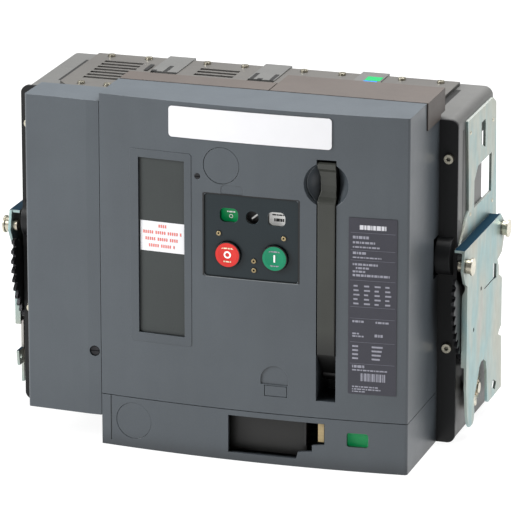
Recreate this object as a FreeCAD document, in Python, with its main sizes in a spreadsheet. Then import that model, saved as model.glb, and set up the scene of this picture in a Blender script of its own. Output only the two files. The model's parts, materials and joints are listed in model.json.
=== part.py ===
"""Withdrawable four-pole air circuit breaker, millimetres.

Frame: X to the right, Y to the back, Z up, the middle of the footprint at the origin.
The sheet "Sizes" holds the driving dimensions and every feature is bound to it.
"""
import FreeCAD, Part
import math
import os
import Sketcher

os.makedirs("parts", exist_ok=True)
doc = FreeCAD.newDocument("Breaker")
sheet = doc.addObject("Spreadsheet::Sheet", "Sizes")


# ---------------------------------------------------------------- dimensions
class Dim:
    """A size that knows both its value and the expression that gives it."""

    def __init__(self, text, value):
        self.text = text
        self.value = value

    def __add__(self, other):
        other = dim(other)
        return Dim(f"({self.text} + {other.text})", self.value + other.value)

    def __sub__(self, other):
        other = dim(other)
        return Dim(f"({self.text} - {other.text})", self.value - other.value)

    def __mul__(self, other):
        other = dim(other)
        return Dim(f"({self.text} * {other.text})", self.value * other.value)

    def __truediv__(self, other):
        other = dim(other)
        return Dim(f"({self.text} / {other.text})", self.value / other.value)

    def __radd__(self, other):
        return dim(other) + self

    def __rsub__(self, other):
        return dim(other) - self

    def __rmul__(self, other):
        return dim(other) * self

    def __neg__(self):
        return dim(0) - self

    def root(self):
        return Dim(f"sqrt({self.text})", math.sqrt(self.value))


def dim(number):
    if isinstance(number, Dim):
        return number
    return Dim(f"({float(number)})", float(number))


def size(alias, number):
    """Puts one driving dimension into the sheet."""
    row = size.row
    size.row += 1
    sheet.set(f"A{row}", alias)
    sheet.set(f"B{row}", str(number))
    sheet.setAlias(f"B{row}", alias)
    return Dim(f"Sizes.{alias}", float(number))


size.row = 1

front = size("front_plane", -152.3)        # Y of the side edges of the front cover
bow = size("front_bow", 10)                # how far the front bulges in the middle
wall = size("cover_wall", 4)
cover_left = size("cover_left", -119)
cover_right = size("cover_right", 232.6)
cover_top = size("cover_top", 402.5)
cover_deep = size("cover_depth", 119)
band_top = size("band_top", 58)            # top of the lower fascia
side_left = size("side_cover_left", -207.4)
half_wide = size("housing_half_width", 251)
flange_half = size("flange_half_width", 254)
flange_screw = size("flange_screw_x", 244.2)
housing_top = size("housing_top", 370)
flange_front = size("flange_front", 118)
housing_front_y = size("housing_front", 122)
housing_split = size("housing_split", 206)
housing_back = size("housing_back", 275)
pitch = size("pole_pitch", 115)
chamber_half = size("chamber_half_width", 48)
chute_half = size("chute_half_width", 40)
chute_front = size("chute_front", 130)
chute_back = size("chute_back", 266)
plate = size("plate_thickness", 3)
inner_plate = size("inner_plate_face", 254)
outer_plate = size("outer_plate_face", 263)
roller_radius = size("roller_radius", 8.3)
pin_radius = size("pin_radius", 4)
fit = size("running_fit", 0.05)
sector_y = size("sector_pivot_y", 187)
sector_z = size("sector_pivot_z", 170)
sector_radius = size("sector_radius", 97)
pinion_radius = size("pinion_radius", 26.5)
button_radius = size("button_radius", 14.6)
handle_x = size("handle_centre", 142)
bowl_z = size("finger_bowl_height", 323)
handle_half = size("handle_half_width", 10)
pivot_y = size("handle_pivot_depth", 24)
pivot_z = size("handle_pivot_height", 104)
screw_x = size("racking_screw_x", 81)
screw_z = size("racking_screw_z", 31)
contact_y = size("contact_pivot_depth", 236)
contact_z = size("contact_pivot_height", 112)
doc.recompute()

poles = [pitch * (number - 1.5) + 0.1 for number in range(4)]
middle = (cover_left + cover_right) / 2
cover_half = (cover_right - cover_left) / 2
bow_radius = (cover_half * cover_half + bow * bow) / (2 * bow)
bow_centre = front - bow + bow_radius

NODES = []


def deep(distance):
    """Y of a point this far behind the front plane."""
    return front + distance


# the cross shaft's pinions stand under the sectors, a hair out of touch
gear_distance = sector_radius + pinion_radius + 0.65
cross_y = deep(sector_y) - 6
cross_z = sector_z - (gear_distance * gear_distance - 36).root()


# ---------------------------------------------------------------- helpers
def bind(item, name, number):
    item.setExpression(name, dim(number).text)


def place(item, x=0, y=0, z=0):
    for axis, number in zip("xyz", (x, y, z)):
        bind(item, f"Placement.Base.{axis}", number)


def body(label):
    made = doc.addObject("PartDesign::Body", label)
    made.Label = label
    return made


def sketch(owner, plane_name, offset):
    """A sketch on one of the body's own planes, moved along that plane's normal."""
    made = owner.newObject("Sketcher::SketchObject", f"{owner.Label}_sketch")
    for plane_item in owner.Origin.OriginFeatures:
        if plane_item.Role == plane_name:
            made.AttachmentSupport = (plane_item, [""])
    made.MapMode = "FlatFace"
    bind(made, "AttachmentOffset.Base.z", offset)
    return made


def pin_point(drawing, geometry, end, x, y):
    """Holds a point of the sketch at a bound distance from its origin."""
    for kind, number in (("DistanceX", dim(x)), ("DistanceY", dim(y))):
        index = drawing.addConstraint(Sketcher.Constraint(kind, -1, 1, geometry, end, number.value))
        drawing.setExpression(f"Constraints[{index}]", number.text)


def draw_outline(drawing, points):
    """A closed outline; ("arc", centre x, centre y, clockwise) between two points bends that side."""
    corners = [item for item in points if item[0] != "arc"]
    total = len(corners)
    arcs = {}
    seen = 0
    for item in points:
        if item[0] == "arc":
            arcs[seen - 1] = item
        else:
            seen += 1
    first = drawing.GeometryCount
    for side in range(total):
        start, stop = corners[side], corners[(side + 1) % total]
        a = FreeCAD.Vector(dim(start[0]).value, dim(start[1]).value, 0)
        b = FreeCAD.Vector(dim(stop[0]).value, dim(stop[1]).value, 0)
        if side not in arcs:
            drawing.addGeometry(Part.LineSegment(a, b))
            continue
        cx, cy, clockwise = dim(arcs[side][1]), dim(arcs[side][2]), arcs[side][3]
        centre = FreeCAD.Vector(cx.value, cy.value, 0)
        begin = math.atan2(a.y - centre.y, a.x - centre.x)
        end = math.atan2(b.y - centre.y, b.x - centre.x)
        circle = Part.Circle(centre, FreeCAD.Vector(0, 0, 1), (a - centre).Length)
        if clockwise:
            begin, end = end, begin
        drawing.addGeometry(Part.ArcOfCircle(circle, begin, end + (2 * math.pi if end < begin else 0)))
    for side in range(total):
        start_end = (2, 1) if side in arcs and arcs[side][3] else (1, 2)
        following = (side + 1) % total
        next_start = 2 if following in arcs and arcs[following][3] else 1
        drawing.addConstraint(
            Sketcher.Constraint("Coincident", first + side, start_end[1], first + following, next_start))
        pin_point(drawing, first + side, start_end[0], *corners[side])
        if side in arcs:
            chord_x = dim(corners[following][0]).value - dim(corners[side][0]).value
            chord_y = dim(corners[following][1]).value - dim(corners[side][1]).value
            flat = abs(chord_x) > abs(chord_y)
            kind = "DistanceY" if flat else "DistanceX"
            number = dim(arcs[side][2] if flat else arcs[side][1])
            index = drawing.addConstraint(
                Sketcher.Constraint(kind, -1, 1, first + side, 3, number.value))
            drawing.setExpression(f"Constraints[{index}]", number.text)


def draw_circle(drawing, x, y, radius):
    x, y, radius = dim(x), dim(y), dim(radius)
    centre = FreeCAD.Vector(x.value, y.value, 0)
    circle = drawing.addGeometry(Part.Circle(centre, FreeCAD.Vector(0, 0, 1), radius.value))
    pin_point(drawing, circle, 3, x, y)
    index = drawing.addConstraint(Sketcher.Constraint("Radius", circle, radius.value))
    drawing.setExpression(f"Constraints[{index}]", radius.text)


PLANES = {"X": "YZ_Plane", "Y": "XZ_Plane", "Z": "XY_Plane"}


def prism(owner, along, low, high, outlines=(), circles=(), cut=False):
    """Pads or pockets outlines and circles along X, Y or Z, from low to high."""
    low, high = dim(low), dim(high)
    start = high if cut else low
    if along == "Y":                       # this plane's normal points to -Y
        start = -low if cut else -high
    drawing = sketch(owner, PLANES[along], start)
    for points in outlines:
        draw_outline(drawing, points)
    for circle in circles:
        draw_circle(drawing, *circle)
    kind = "PartDesign::Pocket" if cut else "PartDesign::Pad"
    made = owner.newObject(kind, f"{owner.Label}_{'cut' if cut else 'pad'}")
    made.Profile = drawing
    bind(made, "Length", high - low)
    drawing.Visibility = False
    owner.Tip = made
    return made


def rectangle(left, right, low, high):
    return [(left, low), (right, low), (right, high), (left, high)]


def rounded(left, right, low, high, radius):
    """A rectangle with round corners, drawn anticlockwise."""
    left, right, low, high = dim(left), dim(right), dim(low), dim(high)
    return [(left + radius, low), (right - radius, low),
            ("arc", right - radius, low + radius, False), (right, low + radius),
            (right, high - radius), ("arc", right - radius, high - radius, False),
            (right - radius, high), (left + radius, high),
            ("arc", left + radius, high - radius, False), (left, high - radius),
            (left, low + radius), ("arc", left + radius, low + radius, False)]


def slot(left, right, low, high):
    """A vertical slot with a round top and a square foot."""
    left, right, low, high = dim(left), dim(right), dim(low), dim(high)
    radius = (right - left) / 2
    return [(left, low), (right, low), (right, high - radius),
            ("arc", left + radius, high - radius, False), (left, high - radius)]


def face_y(x, proud):
    """Y of the bowed front at this X, a distance proud of the cover's surface."""
    radius = bow_radius + proud
    away = dim(x) - middle
    return bow_centre - (radius * radius - away * away).root()


def bowed_insert(label, left, right, low, high, radius, back, proud):
    """A panel with round corners whose two faces follow the bowed front."""
    owner = body(label)
    prism(owner, "Y", deep(-30), deep(40), [rounded(left, right, low, high, radius)])
    margin_left, margin_right = dim(left) - 3, dim(right) + 3
    ahead = [(margin_left, deep(-40)), (margin_right, deep(-40)),
             (margin_right, face_y(margin_right, proud)), ("arc", middle, bow_centre, True),
             (margin_left, face_y(margin_left, proud))]
    behind = [(margin_left, face_y(margin_left, -back)), ("arc", middle, bow_centre, False),
              (margin_right, face_y(margin_right, -back)), (margin_right, deep(50)),
              (margin_left, deep(50))]
    prism(owner, "Z", dim(low) - 3, dim(high) + 3, [ahead], cut=True)
    prism(owner, "Z", dim(low) - 3, dim(high) + 3, [behind], cut=True)
    return owner


def block(x0, x1, y0, y1, z0, z1):
    """A plain box between bound corners, for booleans and small pieces."""
    made = doc.addObject("Part::Box", "Block")
    x0, x1, y0, y1, z0, z1 = (dim(number) for number in (x0, x1, y0, y1, z0, z1))
    bind(made, "Length", x1 - x0)
    bind(made, "Width", y1 - y0)
    bind(made, "Height", z1 - z0)
    place(made, x0, y0, z0)
    return made


TURNS = {"X": ((0, 1, 0), 90), "Y": ((1, 0, 0), -90), "Z": ((0, 0, 1), 0)}


def rod(along, x, y, z, radius, length):
    """A cylinder that starts at a point and runs along +X, +Y or +Z."""
    made = doc.addObject("Part::Cylinder", "Rod")
    axis, angle = TURNS[along]
    made.Placement = FreeCAD.Placement(FreeCAD.Vector(), FreeCAD.Rotation(FreeCAD.Vector(*axis), angle))
    bind(made, "Radius", radius)
    bind(made, "Height", length)
    place(made, x, y, z)
    return made


def hexagon(along, x, y, z, radius, length):
    """A six-sided prism that starts at a point, for nuts, heads and sockets."""
    made = doc.addObject("Part::Prism", "Hexagon")
    axis, angle = TURNS[along]
    made.Placement = FreeCAD.Placement(FreeCAD.Vector(), FreeCAD.Rotation(FreeCAD.Vector(*axis), angle))
    made.Polygon = 6
    bind(made, "Circumradius", radius)
    bind(made, "Height", length)
    place(made, x, y, z)
    return made


def joined(items, label="Joined"):
    made = doc.addObject("Part::MultiFuse", label)
    made.Shapes = items
    return made


def group(items, label="Group"):
    """Separate solids kept as one sub-part."""
    made = doc.addObject("Part::Compound", label)
    made.Links = items
    return made


def without(base, tools, label="Cut"):
    made = doc.addObject("Part::Cut", label)
    made.Base = base
    made.Tool = joined(tools) if len(tools) > 1 else tools[0]
    return made


def node(label, made):
    made.Label = label
    NODES.append(made)
    return made


def soften(owner, radius, chosen):
    """Rounds the edges of a body that the test picks."""
    doc.recompute()
    base = owner.Tip
    names = [f"Edge{number}" for number, edge in enumerate(base.Shape.Edges, 1) if chosen(edge)]
    made = owner.newObject("PartDesign::Fillet", f"{owner.Label}_fillet")
    made.Base = (base, names)
    bind(made, "Radius", radius)
    owner.Tip = made


def straight_along(edge, axis, length=0):
    """True for a straight edge along one axis that is longer than the length given."""
    if not isinstance(edge.Curve, (Part.Line, Part.LineSegment)) or edge.Length < length:
        return False
    ends = edge.Vertexes[-1].Point - edge.Vertexes[0].Point
    return abs(getattr(ends, axis)) > 0.999 * edge.Length


# ---------------------------------------------------------------- front cover
def shell_outline(left, right, back, inset):
    """Plan outline of the bowed box; inset draws its hollow."""
    left, right = left + inset, right - inset
    return [(left, face_y(left, -dim(inset))), ("arc", middle, bow_centre, False),
            (right, face_y(right, -dim(inset))), (right, back), (left, back)]


def cover_shell():
    owner = body("cover_shell")
    low = band_top + 0.8
    back = deep(cover_deep - 1)
    prism(owner, "Z", low, cover_top, [shell_outline(cover_left, cover_right, back, 0)])
    soften(owner, 3, lambda e: straight_along(e, "z", 100) and e.CenterOfMass.y < front.value + 20
           and e.CenterOfMass.x > 0)
    prism(owner, "Z", low - 1, cover_top - wall,
          [shell_outline(cover_left, cover_right, back + 5, wall)], cut=True)
    # the secondary terminal blocks sit on a step cut out of the back of the roof
    prism(owner, "Z", cover_top - 31, cover_top + 1,
          [rectangle(cover_left - 1, cover_right + 1, deep(65), back + 5)], cut=True)
    # handle well, moulded in one with the cover
    well = [rectangle(handle_x - 15, handle_x + 15, 74, 355)]
    prism(owner, "Y", face_y(handle_x + 15, -3), deep(42), well)
    prism(owner, "Y", face_y(handle_x + 26, -3), deep(13), circles=[(handle_x, bowl_z, 28)])
    prism(owner, "Y", deep(-20), deep(39), [rectangle(handle_x - 11, handle_x + 11, 78, 351)], cut=True)
    # openings for the inserts
    openings = [rounded(3, 111.8, 209.5, 303.5, 6), rectangle(-79, -15, 130, 341),
                rectangle(72.6, 98.5, 78.5, 91)]
    prism(owner, "Y", deep(-20), deep(12), openings, [(23.6, 335.2, 20.7)], cut=True)
    # shallow finger scoops above the control panel and above the counter's plug
    prism(owner, "Y", deep(-20), deep(-9.2), [rounded(23, 49, 302, 314, 5)], cut=True)
    prism(owner, "Y", deep(-20), deep(-8.3), [slot(68.5, 100, 92, 113.5)], cut=True)
    # notch that clears the bearing boss of the flange
    prism(owner, "X", cover_right - wall - 1, cover_right + 1,
          [rectangle(deep(99), back + 5, 194, 240)], cut=True)
    # the cross shaft of the poles runs through the left wall
    prism(owner, "X", cover_left - 1, cover_left + wall + 1,
          [rectangle(deep(82), back + 5, 160, 232)], cut=True)
    # counterbore and hole of the panel screw
    prism(owner, "Y", deep(-20), face_y(-3.7, -2.3), circles=[(-3.7, 321, 3.4)], cut=True)
    prism(owner, "Y", deep(-20), deep(6), circles=[(-3.7, 321, 2.2)], cut=True)
    prism(owner, "X", handle_x - 16, handle_x + 16, circles=[(deep(pivot_y), pivot_z, pin_radius)], cut=True)
    return owner


def front_cover():
    """The cover with the round finger bowl that surrounds the grip of the handle."""
    bowl = doc.addObject("Part::Sphere", "Bowl")
    bind(bowl, "Radius", 26.5)
    place(bowl, handle_x, deep(-16.5), bowl_z)
    return without(cover_shell(), [bowl])


node("front_cover", front_cover())


def side_cover():
    owner = body("side_cover")
    left, right = side_left, cover_left - 0.6
    low, top = dim(33), dim(393.5)
    back = deep(cover_deep - 1)
    prism(owner, "X", left, right,
          [[(deep(0), low), (back, low), (back, top - 21), (deep(60), top - 1), (deep(0), top)]])
    prism(owner, "Z", 0, cover_top, [[(left - 1, deep(-1)), (right, deep(-1)), (left - 1, deep(5))]], cut=True)
    soften(owner, 3, lambda e: straight_along(e, "z", 100) and e.CenterOfMass.y < front.value + 20
           and e.CenterOfMass.x < side_left.value + 20)
    prism(owner, "X", left + wall, right - wall,
          [[(deep(9), low + wall), (back + 5, low + wall), (back + 5, top - 22 - wall), (deep(60), top - 1 - wall),
            (deep(9), top - wall)]], cut=True)
    prism(owner, "X", right - wall - 1, right + 1, [rectangle(deep(82), back + 5, 160, 232)], cut=True)
    prism(owner, "Y", deep(-5), deep(3.65), circles=[(-127, 107, 6)], cut=True)
    prism(owner, "Y", deep(-5), deep(12), circles=[(-127, 107, 2.2)], cut=True)
    return owner


node("side_cover", side_cover())


def lower_fascia():
    owner = body("lower_fascia")
    back = deep(cover_deep - 1)
    prism(owner, "Z", 0, band_top, [shell_outline(cover_left, cover_right, back, 0)])
    soften(owner, 3, lambda e: straight_along(e, "z", 40) and e.CenterOfMass.y < front.value + 20
           and e.CenterOfMass.x > 0)
    prism(owner, "Z", wall, band_top + 1, [shell_outline(cover_left, cover_right, back + 5, wall)], cut=True)
    racking = [(31, 9), (109, 9), (111, 17), (127, 19), (127, 26), (141, 28), (141, 52), (31, 52)]
    prism(owner, "Y", deep(-20), deep(12), [racking, rounded(165.7, 189.7, 28, 44, 3)],
          [(-80.5, 31.5, 21)], cut=True)
    groove = [rectangle(-108.4, -107, wall + 2, band_top + 1)]
    prism(owner, "Y", deep(-20), face_y(-107, -1), groove, cut=True)
    return owner


node("lower_fascia", lower_fascia())

node("nameplate", bowed_insert("nameplate", -36.5, 147.8, 363, 397.5, 4, 0, 1.2))
node("rating_label", bowed_insert("rating_label", 167, 220, 90, 289.5, 1, 0, 0.6))


def window_bezel():
    """The bezel's lip lies on the cover, its body stands in the opening."""
    lip = bowed_insert("bezel_lip", -83, -11, 126, 345, 3, 0, 0.5)
    collar = bowed_insert("bezel_collar", -78.7, -15.3, 130.3, 340.7, 1, 5.5, 0)
    hollow = block(-73, -19, deep(-30), deep(30), 136, 336)
    return without(joined([lip, collar]), [hollow])


node("window_bezel", window_bezel())
node("blank_panel", bowed_insert("blank_panel", -72.8, -19.2, 136.2, 335.8, 0.5, 5.4, -2.4))
node("notice_label", bowed_insert("notice_label", -71.5, -19.7, 230, 264, 0.5, 2.4, -2.0))


PANEL_SCREWS = ((20.6, 259), (94.5, 259.4), (60.6, 231), (60.8, 220.6))


def control_bezel():
    owner = bowed_insert("control_bezel", 3.4, 111.4, 209.9, 303.1, 5.6, 5.5, -1.2)
    windows = [rounded(21.5, 42.5, 272, 288, 6), rounded(76, 96, 272, 288, 6)]
    prism(owner, "Y", deep(-30), deep(20), windows,
          [(58.7, 279.5, 7.5), (31.3, 236, button_radius + 0.4), (84.7, 236.6, button_radius + 0.4)], cut=True)
    for x, z in PANEL_SCREWS:
        prism(owner, "Y", deep(-30), face_y(x, 0.2) + 2.45, circles=[(x, z, 2.7)], cut=True)
    prism(owner, "Y", deep(-30), deep(20), circles=[(x, z, 1.5) for x, z in PANEL_SCREWS], cut=True)
    return owner


node("control_bezel", control_bezel())


def push_button(label, x, z):
    """A button with a dished cap on a stem that runs in the control plate."""
    y = face_y(x, 2.6)
    cap = rod("Y", x, y, z, button_radius, 8)
    stem = rod("Y", x, y + 7.9, z, 4, 22)
    dish = doc.addObject("Part::Sphere", "Dish")
    bind(dish, "Radius", 60)
    place(dish, x, y + 0.9 - 60, z)
    return node(label, without(joined([cap, stem]), [dish]))


BUTTONS = {"open_button": (31.3, 236), "close_button": (84.7, 236.6)}
for label, (x, z) in BUTTONS.items():
    push_button(label, x, z)


def coil(x, y, z, radius, wire, pitch_length, length, turned=False):
    """A helical spring along +Y, or along +Z when it isn't turned."""
    helix = doc.addObject("Part::Helix", "Helix")
    bind(helix, "Pitch", pitch_length)
    bind(helix, "Height", length)
    bind(helix, "Radius", radius)
    ring = doc.addObject("Part::Circle", "Wire")
    bind(ring, "Radius", wire)
    ring.Placement = FreeCAD.Placement(
        FreeCAD.Vector(radius, 0, 0), FreeCAD.Rotation(FreeCAD.Vector(1, 0, 0), 90))
    swept = doc.addObject("Part::Sweep", "Coil")
    swept.Sections = [ring]
    swept.Spine = (helix, ["Edge1"])
    swept.Solid = True
    swept.Frenet = True
    if turned:
        swept.Placement.Rotation = FreeCAD.Rotation(FreeCAD.Vector(1, 0, 0), -90)
    place(swept, x, y, z)
    return swept


node("button_springs", group([coil(x, deep(1.6), z, 6.5, 0.5, 2.6, 11.6, True) for x, z in BUTTONS.values()]))


flag_low = size("flag_low", 270)
flag_travel = size("flag_travel", 17)


def flag(label, x, half):
    """A two-colour flag behind its window, on a stem through the control plate's slot."""
    face = block(x - half, x + half, deep(1), deep(2.5), flag_low, flag_low + 20 + flag_travel)
    stem = block(x - 3, x + 3, deep(2.4), deep(20), flag_low + 12, flag_low + 20)
    return node(label, joined([face, stem]))


flag("contact_flag", 32, 11.5)
flag("ready_flag", 58.7, 9)
flag("spring_flag", 86, 11)

node("knockout_plugs", group([
    bowed_insert("upper_plug", 3.4, 43.8, 315, 355.4, 20.19, 3.5, -0.4),
    bowed_insert("lower_plug", -101.2, -59.8, 10.8, 52.2, 20.69, 3.5, -0.4),
    bowed_insert("counter_plug", 73.3, 97.8, 79.1, 90.4, 0.8, 5, -0.1)]))


# ---------------------------------------------------------------- charging handle
def charging_handle():
    """Side profile in Y and Z: round hub, long flat arm, hollow neck, and a knob at the top."""
    owner = body("charging_handle")
    hub_y, hub_z = deep(pivot_y), pivot_z
    profile = [(hub_y + 10, hub_z), ("arc", hub_y, hub_z, True), (hub_y - 10, hub_z),
               (deep(-9), hub_z + 28), (deep(-9), 302), (deep(-8), 304), (deep(-3), 308.5), (deep(0), 314),
               (deep(0.5), 321), (deep(-0.5), 329), (deep(-3.5), 337), (deep(-7.5), 341), (deep(-8), 346),
               (deep(-6), 348), (deep(6), 348), (deep(9), 342), (deep(8.5), 308), (deep(5), 300),
               (deep(4), hub_z + 42)]
    prism(owner, "X", handle_x - handle_half, handle_x + handle_half, [profile])
    for side in (-1, 1):
        waist = [(handle_x + side * 11, 307), (handle_x + side * 10.05, 307), (handle_x + side * 8.6, 313),
                 (handle_x + side * 8.6, 331), (handle_x + side * 10.05, 341), (handle_x + side * 11, 341)]
        prism(owner, "Y", deep(-20), deep(20), [waist], cut=True)
    soften(owner, 1.4, lambda e: straight_along(e, "z", 100) and e.CenterOfMass.y < front.value - 5)
    prism(owner, "X", handle_x - 20, handle_x + 20, circles=[(hub_y, hub_z, pin_radius + fit)], cut=True)
    return owner


node("charging_handle", charging_handle())


# ---------------------------------------------------------------- racking front
def racking_shutter():
    """Sliding plate that bars the racking socket, with a rib to push it by."""
    leaf = block(24, 117, deep(6), deep(8.5), 8, 54)
    rib = block(114.5, 117, deep(2.5), deep(6.1), 20.5, 51)
    return joined([leaf, rib])


node("racking_shutter", racking_shutter())


def padlock_slide():
    owner = body("padlock_slide")
    prism(owner, "X", 132.5, 139.5, [rectangle(deep(-4), deep(60), 29.5, 50.5)])
    prism(owner, "X", 130, 142, circles=[(deep(5), 40, 3.6)], cut=True)
    return owner


node("padlock_slide", padlock_slide())


def racking_screw():
    """Screw with a square socket for the crank in front and a worm behind."""
    shaft = rod("Y", screw_x, deep(16), screw_z, 5, 187)
    head = rod("Y", screw_x, deep(12), screw_z, 12, 22)
    socket = block(screw_x - 5, screw_x + 5, deep(10), deep(30), screw_z - 5, screw_z + 5)
    worm = rod("Y", screw_x, cross_y - 20, screw_z, 7, 40)
    return without(joined([shaft, head, worm]), [socket])


node("racking_screw", racking_screw())


def screw_carrier():
    """Bearing bracket of the racking screw, with a front plate and a back plate."""
    foot = block(screw_x - 24, screw_x + 24, deep(38), deep(114), wall, wall + 3)
    legs = [block(screw_x - 24, screw_x + 24, deep(y), deep(y + 4), wall, 52) for y in (38, 110)]
    bore = rod("Y", screw_x, deep(30), screw_z, 5 + fit, 95)
    return without(joined([foot, *legs]), [bore])


node("screw_carrier", screw_carrier())

node("position_flag", block(163, 215, deep(2.5), deep(5), 25, 47))
node("position_lens", bowed_insert("position_lens", 166, 189.4, 28.3, 43.7, 2.8, 3, -0.8))


# ---------------------------------------------------------------- fasteners of the front
def slotted_screw(x, y, z, radius, shank, length):
    """A pan head towards the front with a straight slot, and its shank behind."""
    head = rod("Y", x, y, z, radius, 2.4)
    notch = block(dim(x) - radius, dim(x) + radius, dim(y) - 1, dim(y) + 0.9, dim(z) - 0.5, dim(z) + 0.5)
    return without(joined([head, rod("Y", x, dim(y) + 2.3, z, shank, length)]), [notch])


def panel_screw(x, z):
    """A hollow brass screw, seen from the front as a ring around a small hole."""
    y = face_y(x, 0.2)
    shank = rod("Y", x, y + 2.3, z, 1.4, 6)
    return without(joined([rod("Y", x, y, z, 2.6, 2.4), shank]), [rod("Y", x, y - 1, z, 1.1, 3)])


node("panel_screws", group([panel_screw(x, z) for x, z in PANEL_SCREWS]))
node("cover_screws", group([
    slotted_screw(-3.7, face_y(-3.7, 0.15), 321, 3.3, 2.1, 12),
    slotted_screw(-127, deep(1.2), 107, 5, 2.1, 14)]))


# ---------------------------------------------------------------- secondary terminals
def terminal_block(label, left, right, back, count):
    """Plug-in terminal rail with one pocket for each connector, stepped over the flange."""
    owner = body(label)
    low, top = cover_top - 30.5, cover_top + 0.5
    end = deep(max(back, 117.5))
    prism(owner, "Z", low, top, [rectangle(left, right, deep(65.5), end)])
    if back < 117.5:
        prism(owner, "Z", top - 14, top + 1, [rectangle(left - 1, right + 1, deep(back), end + 1)], cut=True)
    else:
        prism(owner, "Z", low - 1, housing_top + 7.2, [rectangle(left - 1, right + 2, deep(117.5), end + 1)],
              cut=True)
    step = (dim(right) - left) / count
    pockets = [rectangle(dim(left) + step * number + 2, dim(left) + step * (number + 1) - 2,
                         top - 12, top - 2.5) for number in range(count)]
    prism(owner, "Y", deep(back - 12), deep(back + 0.5), pockets, cut=True)
    return node(label, owner)


terminal_block("terminal_block_left", cover_left + 1, 53.4, 98, 9)
terminal_block("terminal_block_right", 54.6, cover_right + 1.5, 134, 9)


# ---------------------------------------------------------------- flange and housing
FLANGE_SCREW_HEIGHTS = (328, 111)


def mounting_flange():
    owner = body("mounting_flange")
    y0, y1 = deep(flange_front), deep(housing_front_y)
    prism(owner, "Y", y0, y1, [rounded(-flange_half, flange_half, 0, housing_top + 1, 9)])
    prism(owner, "Y", y0 - 1, y1 + 1, [rectangle(-196, 222, 12, 352)], cut=True)
    for low_x, high_x in ((cover_right + 0.5, half_wide - 1), (1 - half_wide, side_left - 0.5)):
        boss = [(y1 - 0.1, 195), (y1 - 0.1, 239), ("arc", y1 - 0.1, 217, False)]
        prism(owner, "X", low_x, high_x, [boss])
    holes = [(x, z, 2.7) for x in (-flange_screw, flange_screw) for z in FLANGE_SCREW_HEIGHTS]
    prism(owner, "Y", y0 - 1, y1 + 1, circles=holes, cut=True)
    return owner


node("mounting_flange", mounting_flange())


def socket_screw(x, z):
    head = rod("Y", x, deep(flange_front - 5), z, 5.2, 5)
    socket = hexagon("Y", x, deep(flange_front - 6), z, 2.6, 4)
    return without(joined([head, rod("Y", x, deep(flange_front - 0.1), z, 2.5, 16)]), [socket])


node("flange_screws", group([socket_screw(x, z) for x in (-flange_screw, flange_screw)
                             for z in FLANGE_SCREW_HEIGHTS]))


SLITS = (-219.5, 218)
SLIT_HALF = 2.4


def housing_half(label, y0, y1, chambers):
    """One half of the moulded pole housing, with a chamber and a chute opening for each pole."""
    owner = body(label)
    outline = [(-half_wide, 3), (-half_wide + 3, 0), (half_wide - 3, 0), (half_wide, 3),
               (half_wide, housing_top - 10), ("arc", half_wide - 10, housing_top - 10, False),
               (half_wide - 10, housing_top), (-half_wide + 10, housing_top),
               ("arc", -half_wide + 10, housing_top - 10, False), (-half_wide, housing_top - 10)]
    prism(owner, "Y", y0, y1, [outline])
    prism(owner, "Y", chambers[0], chambers[1],
          [rectangle(x - chamber_half, x + chamber_half, 84, 300) for x in poles], cut=True)
    # tunnel of the racking shaft under the chambers, and the bores of that shaft
    prism(owner, "Y", chambers[0], chambers[1], [rectangle(-half_wide + 10, half_wide - 10, 8, 77)], cut=True)
    return owner


def chute_openings(owner, y0, y1):
    prism(owner, "Z", 299, housing_top + 5,
          [rectangle(x - chute_half - 0.5, x + chute_half + 0.5, y0, y1) for x in poles], cut=True)


def housing_front():
    y0, y1 = deep(housing_front_y), deep(housing_split)
    owner = housing_half("housing_front", y0, y1, (y0 + 10, y1 + 1))
    chute_openings(owner, deep(chute_front - 0.5), y1 + 1)
    prism(owner, "Y", y0 - 1, y0 + 9, [rectangle(-190, 190, 60, 290)], cut=True)
    links = [rectangle(x - 6, x + 6, 150, 215) for x in poles]
    prism(owner, "Y", y0 - 1, y0 + 11, links, cut=True)
    screws = [(x, z, 2.7) for x in (-flange_screw, flange_screw) for z in FLANGE_SCREW_HEIGHTS]
    prism(owner, "Y", y0 - 1, y0 + 14, circles=screws, cut=True)
    slits = [rectangle(x - SLIT_HALF, x + SLIT_HALF, deep(154), y1 + 1) for x in SLITS]
    prism(owner, "Z", housing_top - 12, housing_top + 1, slits, cut=True)
    # two keeper slots and a square socket in front of each divider rib
    keepers = []
    for x in poles[:3]:
        rib_x = x + pitch / 2
        keepers += [rectangle(rib_x - 14, rib_x - 9.5, deep(182), deep(203)),
                    rectangle(rib_x + 9.5, rib_x + 14, deep(182), deep(203)),
                    rectangle(rib_x - 6, rib_x, deep(175), deep(181))]
    prism(owner, "Z", housing_top - 8, housing_top + 1, keepers, cut=True)
    prism(owner, "X", -half_wide - 1, half_wide + 1, circles=[(cross_y, cross_z, 6 + fit)], cut=True)
    prism(owner, "Y", y0 - 1, y0 + 12, circles=[(screw_x, screw_z, 5 + fit)], cut=True)
    foot_holes(owner, 150)
    return owner


def foot_holes(owner, y):
    """Clearance holes for two M8 bolts through the floor."""
    prism(owner, "Z", -1, 9, circles=[(-215, deep(y), 4.5), (215, deep(y), 4.5)], cut=True)


STAB_HEIGHTS = (112, 248)


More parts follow.
